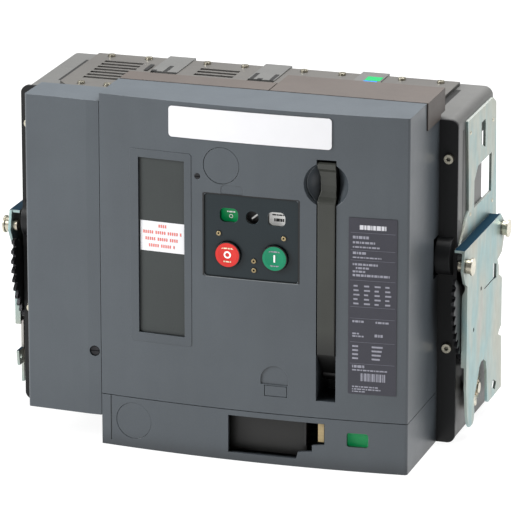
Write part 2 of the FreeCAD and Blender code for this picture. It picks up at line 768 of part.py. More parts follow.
def housing_rear():
    y0, y1 = deep(housing_split), deep(housing_back)
    owner = housing_half("housing_rear", y0, y1, (y0 - 1, y1 - 8))
    chute_openings(owner, y0 - 1, deep(chute_back + 0.5))
    ribs = [rectangle(x + pitch / 2 - 15.5, x + pitch / 2 + 15.5, y0 + 1, y1) for x in poles[:3]]
    prism(owner, "Z", housing_top - 1, housing_top + 5, ribs)
    slits = [rectangle(x - SLIT_HALF, x + SLIT_HALF, y0 - 1, deep(248)) for x in SLITS]
    prism(owner, "Z", housing_top - 12, housing_top + 1, slits, cut=True)
    stab_slots = [rectangle(x - 30.3, x + 30.3, z - 8.3, z + 8.3) for x in poles for z in STAB_HEIGHTS]
    prism(owner, "Y", y1 - 10, y1 + 1, stab_slots, cut=True)
    # the outer corners are cut back behind the windows of the side plates
    corners = [rectangle(-half_wide - 1, -235, 240, 330), rectangle(235, half_wide + 1, 240, 330)]
    prism(owner, "Y", deep(229), y1 + 1, corners, cut=True)
    foot_holes(owner, 250)
    return owner


node("housing_front", housing_front())
node("housing_rear", housing_rear())


# ---------------------------------------------------------------- arc chutes
def arc_chute(number, x):
    """Chute box with a louvred lid that lies on the housing, corners cut at the front."""
    owner = body(f"arc_chute_{number}")
    low, lid, top = dim(302), housing_top, housing_top + 4
    y0, y1 = deep(chute_front), deep(chute_back)
    prism(owner, "Z", low, lid, [rectangle(x - chute_half, x + chute_half, y0, y1)])
    lid_half = chute_half + 1.8
    prism(owner, "Z", lid, top,
          [[(x - lid_half + 12, y0 - 6), (x + lid_half - 12, y0 - 6), (x + lid_half, y0 + 8),
            (x + lid_half, y1 + 2), (x - lid_half, y1 + 2), (x - lid_half, y0 + 8)]])
    prism(owner, "Z", low - 1, lid, [rectangle(x - chute_half + 4, x + chute_half - 4, y0 + 4, y1 - 4)], cut=True)
    louvres = [rectangle(x - 23.3, x + 23.3, deep(159 + 12 * row), deep(159 + 12 * row + 7))
               for row in range(7)]
    prism(owner, "Z", lid - 1, top + 1, louvres, cut=True)
    return node(f"arc_chute_{number}", owner)


for number, x in enumerate(poles, 1):
    arc_chute(number, x)

node("splitter_plates", group([
    block(x - 35.8, x + 35.8, deep(140 + 12 * row), deep(142 + 12 * row), 306, 362)
    for x in poles for row in range(10)]))


def chute_screw(x, y):
    head = rod("Z", x, y, housing_top + 4, 4.2, 2.6)
    notch = block(x - 4.2, x + 4.2, y - 0.6, y + 0.6, housing_top + 5.6, housing_top + 7)
    return without(head, [notch])


node("arc_chute_screws", group([
    chute_screw(x + side * across, deep(y)) for x in poles for side in (-1, 1)
    for across, y in ((22.5, 257), (15.5, 134))]))


# ---------------------------------------------------------------- current path
def stabs(label, z, reach):
    """Copper stabs, one for each pole, from inside the chamber to the back."""
    return node(label, group([block(x - 30, x + 30, reach, deep(312), z - 8, z + 8) for x in poles]))


stabs("lower_stabs", 112, deep(246.5))


def upper_stabs():
    """Upper stab with the fixed contact block standing on its inner end."""
    made = []
    for x in poles:
        bar = block(x - 30, x + 30, deep(254), deep(312), 240, 256)
        tip = block(x - 26, x + 26, deep(250), deep(254.1), 236, 262)
        made.append(joined([bar, tip]))
    return group(made)


node("upper_stabs", upper_stabs())


def finger_cluster(x, z):
    """Spring-loaded jaw on a stab: fingers above and below, held by two rings."""
    jaws = [block(x - 30 + 7.6 * number, x - 24 + 7.6 * number, deep(285), deep(316.9), z + side, z + side + 7)
            for number in range(8) for side in (8, -15)]
    cage = without(block(x - 32, x + 32, deep(292), deep(296), z - 19, z + 19),
                   [block(x - 30.1, x + 30.1, deep(290), deep(298), z - 14.5, z + 14.5)])
    return joined([*jaws, cage])


node("finger_clusters", group([finger_cluster(x, z) for x in poles for z in STAB_HEIGHTS]))


def moving_contacts():
    """Contact arms on their pivot bosses, shown open, leaning to the front."""
    made = []
    for x in poles:
        owner = body("contact_arm")
        y, z = deep(contact_y), contact_z
        outline = [(y + 9, z), (y - 22, 256), (y - 36, 262), (y - 41, 256), (y - 9, z), ("arc", y, z, False)]
        prism(owner, "X", x - 24, x + 24, [outline])
        prism(owner, "X", x - 30, x + 30, circles=[(y, z, pin_radius + fit)], cut=True)
        made.append(owner)
    return group(made)


node("moving_contacts", moving_contacts())

pole_shaft_y = deep(96)
pole_shaft_z = dim(217)


def pole_shaft():
    """Steel cross shaft with one crank for each pole."""
    cranks = []
    for x in poles:
        crank = body("crank")
        y, z = pole_shaft_y, pole_shaft_z
        outline = [(y - 17, z), ("arc", y, z, True), (y + 17, z), (y + 8, z - 42),
                   ("arc", y, z - 42, True), (y - 8, z - 42)]
        prism(crank, "X", x - 5, x + 5, [outline])
        cranks.append(crank)
    return joined([rod("X", -190, pole_shaft_y, pole_shaft_z, 12, 410), *cranks])


node("pole_shaft", pole_shaft())


# ---------------------------------------------------------------- spring mechanism
frame_faces = (-10, 116)
cam_y = deep(62)
cam_z = dim(150)
trip_y = deep(26)
trip_z = dim(222)
close_z = dim(252)


def control_plate():
    """Steel plate behind the buttons that guides both stems and carries the flags."""
    base = block(-6, 122, deep(14), deep(16), 200, 299)
    holes = [rod("Y", x, deep(10), z, 4.3, 10) for x, z in BUTTONS.values()]
    holes += [block(x - 4, x + 4, deep(10), deep(20), 263, 292) for x in (32, 58.7, 86)]
    return without(base, holes)


def mechanism_frames():
    """The control plate and the two steel walls that carry the shafts of the mechanism."""
    walls = [control_plate()]
    for number, x in enumerate(frame_faces):
        owner = body(f"frame_wall_{number}")
        prism(owner, "X", x, x + plate, [[(deep(18), 110), (deep(117.5), 80), (deep(117.5), 300),
                                          (deep(40), 300), (deep(18), 270)]])
        holes = [(cam_y, cam_z, 8 + fit), (trip_y, trip_z, 4 + fit), (trip_y, close_z, 4 + fit),
                 (pole_shaft_y, pole_shaft_z, 12 + fit)]
        prism(owner, "X", x - 1, x + plate + 1, circles=holes, cut=True)
        walls.append(owner)
    return group(walls)


node("mechanism_frames", mechanism_frames())


def cam_shaft():
    """Shaft with the charging ratchet and the closing cam."""
    ratchet = body("ratchet")
    teeth = 18
    rim = []
    for number in range(teeth):
        angle = 2 * math.pi * number / teeth
        rim.append((cam_y + 30 * math.cos(angle), cam_z + 30 * math.sin(angle)))
        rim.append((cam_y + 25 * math.cos(angle + 0.04), cam_z + 25 * math.sin(angle + 0.04)))
    prism(ratchet, "X", 98, 104, [rim])
    cam = body("closing_cam")
    lobe = [(cam_y - 16, cam_z), ("arc", cam_y, cam_z, True), (cam_y + 16, cam_z),
            (cam_y + 9, cam_z - 30), ("arc", cam_y, cam_z - 30, True), (cam_y - 9, cam_z - 30)]
    prism(cam, "X", 18, 32, [lobe])
    return joined([rod("X", -16, cam_y, cam_z, 8, 142), ratchet, cam])


node("cam_shaft", cam_shaft())


def latch_shaft(z):
    """Half-moon latch shaft."""
    bar = rod("X", -14, trip_y, z, 4, 137)
    flat = block(40, 62, trip_y - 5, trip_y, dim(z) - 5, dim(z) + 5)
    return without(bar, [flat])


def latch_with_tab(label, z, tab_x, low, high):
    tab = block(tab_x - 5, tab_x + 5, trip_y - 1.5, trip_y + 1.5, low, high)
    return node(label, joined([latch_shaft(z), tab]))


latch_with_tab("trip_shaft", trip_z, dim(25), trip_z + 3, trip_z + 18)
latch_with_tab("close_shaft", close_z, dim(84.7), close_z - 20, close_z - 3)

node("closing_springs", group([coil(x, deep(62), 186, 11, 2, 7, 90) for x in (8, 80)]))


# ---------------------------------------------------------------- racking drive

def teeth_ring(y, z, radius, depth, count, first, last):
    """Outline points of a toothed arc between two angles in degrees, anticlockwise."""
    points = []
    step = (last - first) / count
    for number in range(count):
        for share, lift in ((0.0, -depth), (0.28, 0), (0.55, 0), (0.83, -depth)):
            angle = math.radians(first + step * (number + share))
            points.append((y + (radius + lift) * math.cos(angle), z + (radius + lift) * math.sin(angle)))
    return points


def racking_sector(label, side):
    """Toothed sector that drives the breaker along its rails."""
    owner = body(label)
    y, z = deep(sector_y), sector_z
    rim = teeth_ring(y, z, sector_radius, 6.5, 18, 163, 287)
    outline = [*rim, (y + 16, z - 50), (y + 17, z + 6), (y + 6, z + 17), (y - 10, z + 15), (y - 62, z + 9)]
    low = outer_plate - 7.8
    high = outer_plate - 4.2
    if side < 0:
        low, high = -high, -low
    prism(owner, "X", low, high, [outline])
    prism(owner, "X", low - 1, high + 1, circles=[(y, z, 8 + fit)], cut=True)
    return node(label, owner)


for label, side in (("racking_sector_right", 1), ("racking_sector_left", -1)):
    racking_sector(label, side)


def cross_shaft():
    """Shaft that joins the two racking sides, with a pinion and a hub at each end and the worm wheel."""
    reach = outer_plate + 2
    parts = [rod("X", -reach, cross_y, cross_z, 6, 2 * reach)]
    for side in (-1, 1):
        owner = body("pinion")
        rim = teeth_ring(cross_y, cross_z, pinion_radius, 5.5, 14, 0, 360)
        low = outer_plate - 7.8 if side > 0 else 4.2 - outer_plate
        prism(owner, "X", low, low + 3.6, [rim])
        parts.append(owner)
        parts.append(rod("X", low if side > 0 else low - 2.4, cross_y, cross_z, 9.5, 6))
    parts.append(rod("X", screw_x - 8, cross_y, cross_z, cross_z - screw_z - 7.5, 16))
    return joined(parts)


node("cross_shaft", cross_shaft())


# ---------------------------------------------------------------- side plates
ROLLERS = {"front": (114, 208), "rear": (268.5, 208)}


def side_plate(side):
    """Upper side plate with its window and slot, flat on the housing."""
    name = "side_plate_right" if side > 0 else "side_plate_left"
    owner = body(name)
    low = inner_plate - plate if side > 0 else -inner_plate
    outline = [(158, 360), (163.5, 302), (166, 262), (166, 256), (127, 223), (127, 216), (285.6, 216),
               (279, 352), (265.4, 360)]
    prism(owner, "X", low, low + plate, [[(deep(y), z) for y, z in outline]])
    small = [(216, 343.5), (232, 344), (234.4, 338.6), (234, 311), (215.3, 319.5)]
    window = [(188, 252.5), (262, 252.5), (262, 297.5), (203, 297.5), (188, 284)]
    windows = [[(deep(y), z) for y, z in points] for points in (small, window)]
    fixings = [(deep(y), z, 2.5) for y, z in ((172, 250), (170, 344), (266, 240), (266, 334))]
    prism(owner, "X", low - 1, low + plate + 1, windows, fixings, cut=True)
    return node(name, owner)


def lower_plate(side):
    """Lower side plate that carries the rollers, folded in along its top and down its front edge."""
    name = "lower_plate_right" if side > 0 else "lower_plate_left"
    owner = body(name)
    face = outer_plate if side > 0 else -(outer_plate + plate)
    outline = [(120, 182.5), (110.5, 188.5), (101.4, 204.7), (107.2, 227), (260.6, 227), (272, 218),
               (277, 213), (277, 196), (268, 180), (249.4, 176), (255.8, 167), (256.4, 156.5),
               (267, 151.5), (270.6, 148), (270.6, 93), (259, 88), (258, 85), (271, 79.4), (273.5, 17.6),
               (217, 17.3), (212, 20.4), (208.3, 58.4), (204, 70), (193, 75.8), (183, 76), (175.7, 72),
               (162.8, 51), (153, 41), (157, 25), (154, 16), (149, 13.5), (138, 13.5),
               (131, 19), (126, 30), (123, 48), (120, 66)]
    prism(owner, "X", face, face + plate, [[(deep(y), z) for y, z in outline]])
    # the fold along the top is the ledge that meets the upper plate
    ledge_low = inner_plate if side > 0 else -outer_plate
    ledge = [(deep(108), 224), (deep(258), 224), (deep(258), 227), (deep(108), 227)]
    prism(owner, "X", ledge_low, ledge_low + outer_plate - inner_plate, [ledge])
    # the front fold has a slanted top and stands clear of the sector
    fold_in = outer_plate - 3.4
    fold = [(fold_in, 88), (outer_plate + 0.1, 88), (outer_plate + 0.1, 178), (fold_in, 171)]
    if side < 0:
        fold = [(-dim(x), z) for x, z in fold]
    prism(owner, "Y", deep(120), deep(123), [fold])
    notch = [(deep(231.9), 176.7), (deep(245.2), 172.8), (deep(244.7), 156.6), (deep(231.5), 158)]
    slit = [(deep(192.6), 158), (deep(231.6), 158), (deep(231.6), 159.5), (deep(192.6), 159.5)]
    catch = [(deep(251.6), 30.6), (deep(245.7), 22.9), (deep(232.4), 29.7), (deep(238), 38)]
    bores = [(deep(149), 124, 2.5), (deep(179), 163, 2.6)]
    bores += [(deep(y), z, pin_radius) for y, z in ROLLERS.values()]
    prism(owner, "X", face - 1, face + plate + 1, [notch, slit, catch], bores, cut=True)
    if side < 0:
        # the left plate is cut back at the foot and keeps one lug with a hole
        lug = [rectangle(deep(118), deep(138), 12, 37), rectangle(deep(118), deep(138), 55, 87.9)]
        prism(owner, "X", face - 1, face + plate + 1, lug, [(deep(129), 46, 3)], cut=True)
    return node(name, owner)


for side in (1, -1):
    side_plate(side)
    lower_plate(side)


def pivot_pins():
    """Pins of the contact arms and of the charging handle, and the axles of the racking sectors."""
    pins = [rod("X", x - chamber_half, deep(contact_y), contact_z, pin_radius, 2 * chamber_half) for x in poles]
    pins.append(rod("X", handle_x - 15, deep(pivot_y), pivot_z, pin_radius, 30))
    for start in (half_wide, -outer_plate):
        pins.append(rod("X", start, deep(sector_y), sector_z, 8, outer_plate - half_wide))
    return group(pins)


node("pivot_pins", pivot_pins())

def roller_pin(side, y, z):
    """Pin with a collar inside the plate, a washer outside it and a head outside the roller."""
    parts = []
    for start, radius, length in ((257.7, 6.8, 5.3), (258, pin_radius, 15), (266, 7.6, 1.2), (272.1, 10, 1.9)):
        low = start if side > 0 else -(start + length)
        parts.append(rod("X", low, deep(y), z, radius, length))
    return joined(parts)


node("roller_pins", group([roller_pin(side, y, z) for side in (-1, 1) for y, z in ROLLERS.values()]))

for where, (y, z) in ROLLERS.items():
    for hand, side in (("right", 1), ("left", -1)):
        start = 267.25 if side > 0 else -272.05
        wheel = rod("X", start, deep(y), z, roller_radius, 4.8)
        bore = rod("X", start - 1, deep(y), z, pin_radius + fit, 7)
        node(f"roller_{where}_{hand}", without(wheel, [bore]))


# ---------------------------------------------------------------- checks and export
doc.recompute()
for item in doc.Objects:
    bad = [state for state in item.State if state in ("Invalid", "Error")]
    if bad:
        raise RuntimeError(f"{item.Name} ({item.Label}) is {bad}")
for item in NODES:
    if item.Shape.isNull() or not item.Shape.isValid():
        raise RuntimeError(f"{item.Label} has no valid shape")
    item.Shape.exportStep(f"parts/{item.Label}.step")
print(len(NODES), "sub-parts")
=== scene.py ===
"""Looks of the air circuit breaker: materials, printed marks, small trim, light and camera.

Every length is in metres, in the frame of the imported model: X right, Y back, Z up.
Helpers that draw on the breaker take millimetres and say so.
"""
import json
import math

import bmesh
import bpy
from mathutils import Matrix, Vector


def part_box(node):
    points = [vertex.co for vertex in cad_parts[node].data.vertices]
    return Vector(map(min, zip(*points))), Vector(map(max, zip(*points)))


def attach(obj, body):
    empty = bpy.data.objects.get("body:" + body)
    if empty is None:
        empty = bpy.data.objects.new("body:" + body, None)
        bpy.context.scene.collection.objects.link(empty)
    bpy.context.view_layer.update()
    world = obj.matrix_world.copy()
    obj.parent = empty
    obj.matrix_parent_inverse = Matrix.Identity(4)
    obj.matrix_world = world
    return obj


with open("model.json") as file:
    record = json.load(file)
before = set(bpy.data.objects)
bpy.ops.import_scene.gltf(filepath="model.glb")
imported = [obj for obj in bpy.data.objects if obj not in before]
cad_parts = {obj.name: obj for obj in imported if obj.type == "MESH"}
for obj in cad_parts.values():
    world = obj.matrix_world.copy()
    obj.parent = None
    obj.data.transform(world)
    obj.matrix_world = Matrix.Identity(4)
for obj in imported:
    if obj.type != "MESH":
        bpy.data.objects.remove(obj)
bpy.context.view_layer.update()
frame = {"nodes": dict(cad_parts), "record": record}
NODES = frame["nodes"]
MM = 0.001


# ---------------------------------------------------------------- node helpers
class Shader:
    """A material with short calls for the nodes that this scene uses."""

    def __init__(self, name, edge_radius=0.5):
        self.material = bpy.data.materials.new(name)
        self.material.use_nodes = True
        self.tree = self.material.node_tree
        self.tree.nodes.clear()
        self.output = self.tree.nodes.new("ShaderNodeOutputMaterial")
        self.surface = self.tree.nodes.new("ShaderNodeBsdfPrincipled")
        self.link(self.surface.outputs["BSDF"], self.output.inputs["Surface"])
        self.coordinates = self.tree.nodes.new("ShaderNodeTexCoord").outputs["Object"]
        self.geometry = self.tree.nodes.new("ShaderNodeNewGeometry")
        rounding = self.tree.nodes.new("ShaderNodeBevel")
        rounding.samples = 6
        rounding.inputs["Radius"].default_value = edge_radius * MM
        self.rounded = rounding.outputs["Normal"]
        self.link(self.rounded, self.surface.inputs["Normal"])

    def link(self, source, target):
        self.tree.links.new(source, target)

    def scaled(self, x, y, z):
        """The object coordinates, stretched by a factor along each axis."""
        mapping = self.tree.nodes.new("ShaderNodeMapping")
        mapping.inputs["Scale"].default_value = (x, y, z)
        self.link(self.coordinates, mapping.inputs["Vector"])
        return mapping.outputs["Vector"]

    def noise(self, scale, detail=3.0, rough=0.5, vector=None):
        node = self.tree.nodes.new("ShaderNodeTexNoise")
        node.inputs["Scale"].default_value = scale
        node.inputs["Detail"].default_value = detail
        node.inputs["Roughness"].default_value = rough
        self.link(vector or self.coordinates, node.inputs["Vector"])
        return node.outputs["Fac"]

    def ramp(self, factor, stops):
        node = self.tree.nodes.new("ShaderNodeValToRGB")
        elements = node.color_ramp.elements
        while len(elements) < len(stops):
            elements.new(0.5)
        for element, (place, colour) in zip(elements, stops):
            element.position = place
            element.color = (*colour, 1)
        self.link(factor, node.inputs["Fac"])
        return node.outputs["Color"]

    def range(self, factor, low, high, start=0.0, stop=1.0):
        node = self.tree.nodes.new("ShaderNodeMapRange")
        node.inputs["From Min"].default_value = start
        node.inputs["From Max"].default_value = stop
        node.inputs["To Min"].default_value = low
        node.inputs["To Max"].default_value = high
        self.link(factor, node.inputs["Value"])
        return node.outputs["Result"]

    def mix(self, factor, first, second, kind="MIX"):
        node = self.tree.nodes.new("ShaderNodeMix")
        node.data_type = "RGBA"
        node.blend_type = kind
        if isinstance(factor, float):
            node.inputs["Factor"].default_value = factor
        else:
            self.link(factor, node.inputs["Factor"])
        for value, socket in ((first, "A"), (second, "B")):
            target = next(i for i in node.inputs if i.name == socket and i.type == "RGBA")
            if isinstance(value, tuple):
                target.default_value = (*value, 1)
            else:
                self.link(value, target)
        return next(o for o in node.outputs if o.type == "RGBA")

    def bump(self, height, strength, distance):
        node = self.tree.nodes.new("ShaderNodeBump")
        node.inputs["Strength"].default_value = strength
        node.inputs["Distance"].default_value = distance
        self.link(height, node.inputs["Height"])
        self.link(self.rounded, node.inputs["Normal"])
        self.link(node.outputs["Normal"], self.surface.inputs["Normal"])

    def edge(self):
        """One along the rounded edges of the mesh, nought on its flats."""
        dot = self.tree.nodes.new("ShaderNodeVectorMath")
        dot.operation = "DOT_PRODUCT"
        self.link(self.geometry.outputs["Normal"], dot.inputs[0])
        self.link(self.rounded, dot.inputs[1])
        return self.range(dot.outputs["Value"], 1.0, 0.0, 0.86, 0.985)

    def paint_crevice_shade(self, base, reach, floor=0.12):
        """Paints shade into the colour in seams and wells, where ambient occlusion finds them."""
        node = self.tree.nodes.new("ShaderNodeAmbientOcclusion")
        node.samples = 6
        node.inputs["Distance"].default_value = reach
        shade = self.ramp(node.outputs["AO"], [(0.18, (floor,) * 3), (0.80, (1, 1, 1))])
        return self.mix(1.0, base, shade, "MULTIPLY")

    def away_from(self, node):
        """Distance in X and Z from the middle of a CAD node, in metres."""
        low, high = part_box(node)
        distance = self.tree.nodes.new("ShaderNodeVectorMath")
        distance.operation = "DISTANCE"
        self.link(self.scaled(1, 0, 1), distance.inputs[0])
        distance.inputs[1].default_value = ((low.x + high.x) / 2, 0, (low.z + high.z) / 2)
        return distance.outputs["Value"]

    def height(self):
        parts = self.tree.nodes.new("ShaderNodeSeparateXYZ")
        self.link(self.coordinates, parts.inputs["Vector"])
        return parts.outputs["Z"]

    def colour(self, source):
        self.link(source, self.surface.inputs["Base Color"])

    def roughness(self, factor, low, high):
        self.link(self.range(factor, low, high), self.surface.inputs["Roughness"])

    def set(self, socket, value):
        self.surface.inputs[socket].default_value = value


def tint(colour, factor):
    return tuple(min(1.0, channel * factor) for channel in colour)


def around(colour, spread):
    """Ramp stops from a little darker than a colour to a little lighter."""
    return [(0.3, tint(colour, 1 - spread)), (0.7, tint(colour, 1 + spread))]


def moulded(name, colour, roughness=0.4, grain=2600.0, depth=0.00005, dirt=0.07, rub=1.5, edge=0.6,
            shine=0.5, well=0.022, shade=0.12, foot=None):
    """Moulded plastic: fine spark-eroded grain, faint mottling, painted shade in seams, and edges
    lightened as rubbed wear and painted highlight.

    Well and shade say how far and how deeply the painted shade in seams reaches, and foot between which
    heights it is painted black as shade where it sits down in a well.
    """
    shader = Shader(name, edge)
    base = shader.ramp(shader.noise(9, 4, 0.6), around(colour, dirt))
    smear = shader.ramp(shader.noise(1.0, 4, 0.6, shader.scaled(30, 30, 5)),
                        [(0.35, (0.93, 0.93, 0.94)), (0.65, (1.0, 1.0, 1.0))])
    base = shader.mix(1.0, base, smear, "MULTIPLY")
    fine = shader.ramp(shader.noise(900, 2, 0.5), [(0.35, (0.92, 0.92, 0.92)), (0.65, (1.0, 1.0, 1.0))])
    base = shader.mix(1.0, base, fine, "MULTIPLY")
    # painted shade: seams and wells darkened by ambient occlusion
    base = shader.paint_crevice_shade(base, well, shade)
    # edges lightened as rubbed wear and painted highlight
    base = shader.mix(shader.edge(), base, tint(colour, rub))
    if foot:
        # painted shade: black towards the foot, where the part sits down in its well
        black = shader.range(shader.height(), 0.95, 0.0, *foot)
        base = shader.mix(black, base, (0.002, 0.002, 0.002))
    shader.colour(base)
    shader.set("Specular IOR Level", shine)
    shader.roughness(shader.noise(40, 5, 0.7), roughness - 0.06, roughness + 0.08)
    shader.bump(shader.noise(grain, 2, 0.6), 0.3, depth)
    return shader.material


BUTTON_GAP_SHADOW = (0.0132, 0.0137)      # metres from the middle of a button to where the painted shadow of the gap round it begins


def printed(name, colour, roughness=0.35, shade=0.35, glow=0.0, mottle=0.04, button=None):
    """Satin printed film with a slight orange peel, painted shade in its hollows, a dark rim painted as
    the shadow of the gap where it covers a button, and painted light given off by glow.
    """
    shader = Shader(name, 0.4)
    base = shader.ramp(shader.noise(60, 3, 0.5), around(colour, mottle))
    # painted shade in the film's hollows
    base = shader.paint_crevice_shade(base, 0.006, shade)
    # painted shadow of the gap round a button, as a dark rim on its cap
    if button:
        rim = shader.range(shader.away_from(button), 0.0, 1.0, *BUTTON_GAP_SHADOW)
        base = shader.mix(rim, base, (0.004, 0.004, 0.004))
    shader.colour(base)
    shader.set("Specular IOR Level", 0.35)
    # painted light: glow makes the film give off light in its own colour
    shader.set("Emission Color", (*colour, 1))
    shader.set("Emission Strength", glow)
    shader.roughness(shader.noise(25, 3), roughness - 0.05, roughness + 0.08)
    shader.bump(shader.noise(700, 2), 0.12, 0.00003)
    return shader.material


def metal(name, colour, roughness):
    """Drawn or turned metal with fine streaks along one direction, a few dull patches, and painted shade
    in its hollows.
    """
    shader = Shader(name, 0.35)
    lines = shader.noise(1.0, 6, 0.7, shader.scaled(60, 60, 900))
    base = shader.ramp(lines, around(colour, 0.12))
    dull = shader.ramp(shader.noise(55, 4, 0.6), [(0.35, (0.72, 0.72, 0.72)), (0.6, (1, 1, 1))])
    base = shader.mix(1.0, base, dull, "MULTIPLY")
    # painted shade in the metal's hollows
    shader.colour(shader.paint_crevice_shade(base, 0.006, 0.08))
    shader.set("Metallic", 1.0)
    shader.roughness(lines, roughness - 0.1, roughness + 0.12)
    shader.bump(lines, 0.12, 0.00004)
    return shader.material


LEDGE_TOP = (0.232, 0.236)         # heights in metres between which the painted dark blue reflection on upward faces gives way to painted grey


def passivated(name):
    """Zinc-plated sheet with the cyan and pink bloom of its passivation; upward faces painted by their
    facing as reflection, dark blue on the low ledges and grey above; painted shade in its hollows and a
    pale painted highlight on its edges.
    """
    shader = Shader(name, 0.3)
    cloud = shader.noise(1.0, 3, 0.55, shader.scaled(10, 14, 5))
    bloom = shader.ramp(cloud, [(0.26, (0.44, 0.42, 0.33)), (0.40, (0.44, 0.48, 0.43)),
                                (0.50, (0.31, 0.46, 0.46)), (0.60, (0.42, 0.46, 0.41)),
                                (0.74, (0.46, 0.38, 0.38))])
    spangle = shader.ramp(shader.noise(1.0, 4, 0.6, shader.scaled(90, 90, 50)),
                          [(0.3, (0.84, 0.84, 0.84)), (0.7, (1, 1, 1))])
    base = shader.mix(1.0, bloom, spangle, "MULTIPLY")
    # painted reflection: upward faces take a colour by their facing, dark blue on the low ledges and grey
    # above
    parts = shader.tree.nodes.new("ShaderNodeSeparateXYZ")
    shader.link(shader.geometry.outputs["True Normal"], parts.inputs["Vector"])
    up = shader.range(parts.outputs["Z"], 0.0, 1.0, 0.8, 0.95)
    low = shader.range(shader.height(), 1.0, 0.0, *LEDGE_TOP)
    base = shader.mix(up, base, shader.mix(low, (0.30, 0.32, 0.30), (0.0, 0.020, 0.040)))
    # painted shade in the sheet's hollows
    base = shader.paint_crevice_shade(base, 0.012, 0.15)
    # painted highlight: the rounded edges are painted pale
    shader.colour(shader.mix(shader.edge(), base, (0.75, 0.76, 0.72)))
    shader.link(shader.range(up, 0.7, 0.0), shader.surface.inputs["Metallic"])
    shader.link(shader.range(up, 0.5, 0.1), shader.surface.inputs["Specular IOR Level"])
    rough = shader.noise(1.0, 5, 0.7, shader.scaled(300, 300, 60))
    shader.roughness(rough, 0.34, 0.5)
    shader.bump(rough, 0.1, 0.00005)
    return shader.material


def clear(name):
    shader = Shader(name, 0.3)
    shader.colour(shader.ramp(shader.noise(30), [(0.3, (0.93, 0.97, 0.95)), (0.7, (1, 1, 1))]))
    shader.set("Transmission Weight", 1.0)
    shader.set("IOR", 1.2)
    shader.set("Alpha", 0.35)
    shader.roughness(shader.noise(400), 0.03, 0.10)
    return shader.material


COVER_GREY = (0.066, 0.078, 0.089)
MATERIALS = {}


def add_material(kind, name, *values, **extra):
    MATERIALS[name] = kind(name, *values, **extra)


# moulded materials: well and shade set the painted shade in seams and wells; edges are lightened as rubbed
# wear and painted highlight
add_material(moulded, "cover_plastic", COVER_GREY, 0.34, well=0.032, shade=0.03)
add_material(moulded, "bezel_plastic", tint(COVER_GREY, 0.94), 0.36)
add_material(moulded, "panel_plastic", (0.034, 0.040, 0.039), 0.42, shine=0.4)
add_material(moulded, "shutter_plastic", (0.016, 0.016, 0.015), 0.38, shine=0.4, well=0.035)
add_material(moulded, "control_plastic", (0.010, 0.018, 0.022), 0.36, 1800, rub=4.0, shine=0.32)
# painted highlight for the lip below the control bezel
add_material(printed, "bright_edge", (0.20, 0.22, 0.23), 0.4)
add_material(printed, "label_dark", (0.040, 0.040, 0.052), 0.42)
add_material(printed, "label_ink", (0.28, 0.28, 0.33), 0.5)
add_material(printed, "bright_ink", (0.62, 0.62, 0.66), 0.5)
add_material(printed, "label_rule", (0.13, 0.13, 0.16), 0.5)
add_material(printed, "white_plate", (0.76, 0.76, 0.78), 0.35, mottle=0.01)
# the handle is painted black as shade towards its foot, down in its well
add_material(moulded, "handle_plastic", (0.038, 0.040, 0.034), 0.36, 1500, 0.00009, dirt=0.16,
             rub=2.4, edge=1.1, shine=0.4, foot=(0.126, 0.160))
add_material(printed, "red_button", (0.62, 0.026, 0.020), 0.36, button="open_button")
add_material(printed, "red_ink", (0.74, 0.16, 0.13), 0.36)
add_material(printed, "green_button", (0.0, 0.21, 0.10), 0.36, button="close_button")
# painted light: these films glow in their own colour, brighter than the lamps make them
add_material(printed, "red_flag", (0.62, 0.026, 0.020), 0.4, 0.75, 0.3)
add_material(printed, "green_flag", (0.0, 0.25, 0.07), 0.4, 0.75, 0.3)
add_material(printed, "white_flag", (0.82, 0.82, 0.80), 0.4, 0.8, 0.25)
add_material(printed, "yellow_mark", (0.72, 0.50, 0.04), 0.4, 0.75, 0.3)
add_material(printed, "blue_mark", (0.02, 0.16, 0.50), 0.4)
add_material(printed, "pale_ink", (0.78, 0.70, 0.50), 0.4)
# black print on the flags, and the black of the sheets painted as shadow in gaps, grooves and slots
add_material(printed, "black_flag", (0.012, 0.012, 0.012), 0.4)
add_material(metal, "brass", (0.38, 0.30, 0.17), 0.32)
add_material(metal, "dark_steel", (0.045, 0.045, 0.048), 0.38)
add_material(metal, "zinc_steel", (0.66, 0.62, 0.50), 0.28)
add_material(metal, "spring_steel", (0.42, 0.43, 0.45), 0.3)
add_material(metal, "copper", (0.74, 0.60, 0.50), 0.34)
add_material(passivated, "galvanised")
add_material(clear, "clear_lens")
add_material(moulded, "terminal_plastic", (0.062, 0.050, 0.043), 0.5)
add_material(moulded, "flange_plastic", (0.0065, 0.0070, 0.0075), 0.36, rub=4.0, shine=0.3)
add_material(moulded, "housing_plastic", (0.100, 0.100, 0.096), 0.40)
add_material(moulded, "chute_plastic", (0.082, 0.078, 0.072), 0.42)

# nodes that look darker than the material their record names
DARKER = {"racking_shutter": "shutter_plastic", "cover_screws": "dark_steel"}
for part in frame["record"]["subparts"]:
    shape = NODES[part["node"]].data
    shape.materials.clear()
    shape.materials.append(MATERIALS[DARKER.get(part["node"], part["material_slot"])])


# ---------------------------------------------------------------- where things are, in millimetres
COVER_LOW, COVER_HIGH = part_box("front_cover")
COVER_MIDDLE = (COVER_LOW.x + COVER_HIGH.x) / 2 / MM
BOW_DEPTH = 10.0
COVER_HALF = (COVER_HIGH.x - COVER_LOW.x) / 2 / MM
BOW_RADIUS = (COVER_HALF ** 2 + BOW_DEPTH ** 2) / (2 * BOW_DEPTH)
FRONT_PLANE = COVER_LOW.y / MM + BOW_DEPTH


def surface_y(x, proud=0.0):
    """Y of the bowed front at this X, a distance proud of the cover; all in millimetres."""
    away = x - COVER_MIDDLE
    return FRONT_PLANE - BOW_DEPTH + BOW_RADIUS - math.sqrt((BOW_RADIUS + proud) ** 2 - away ** 2)


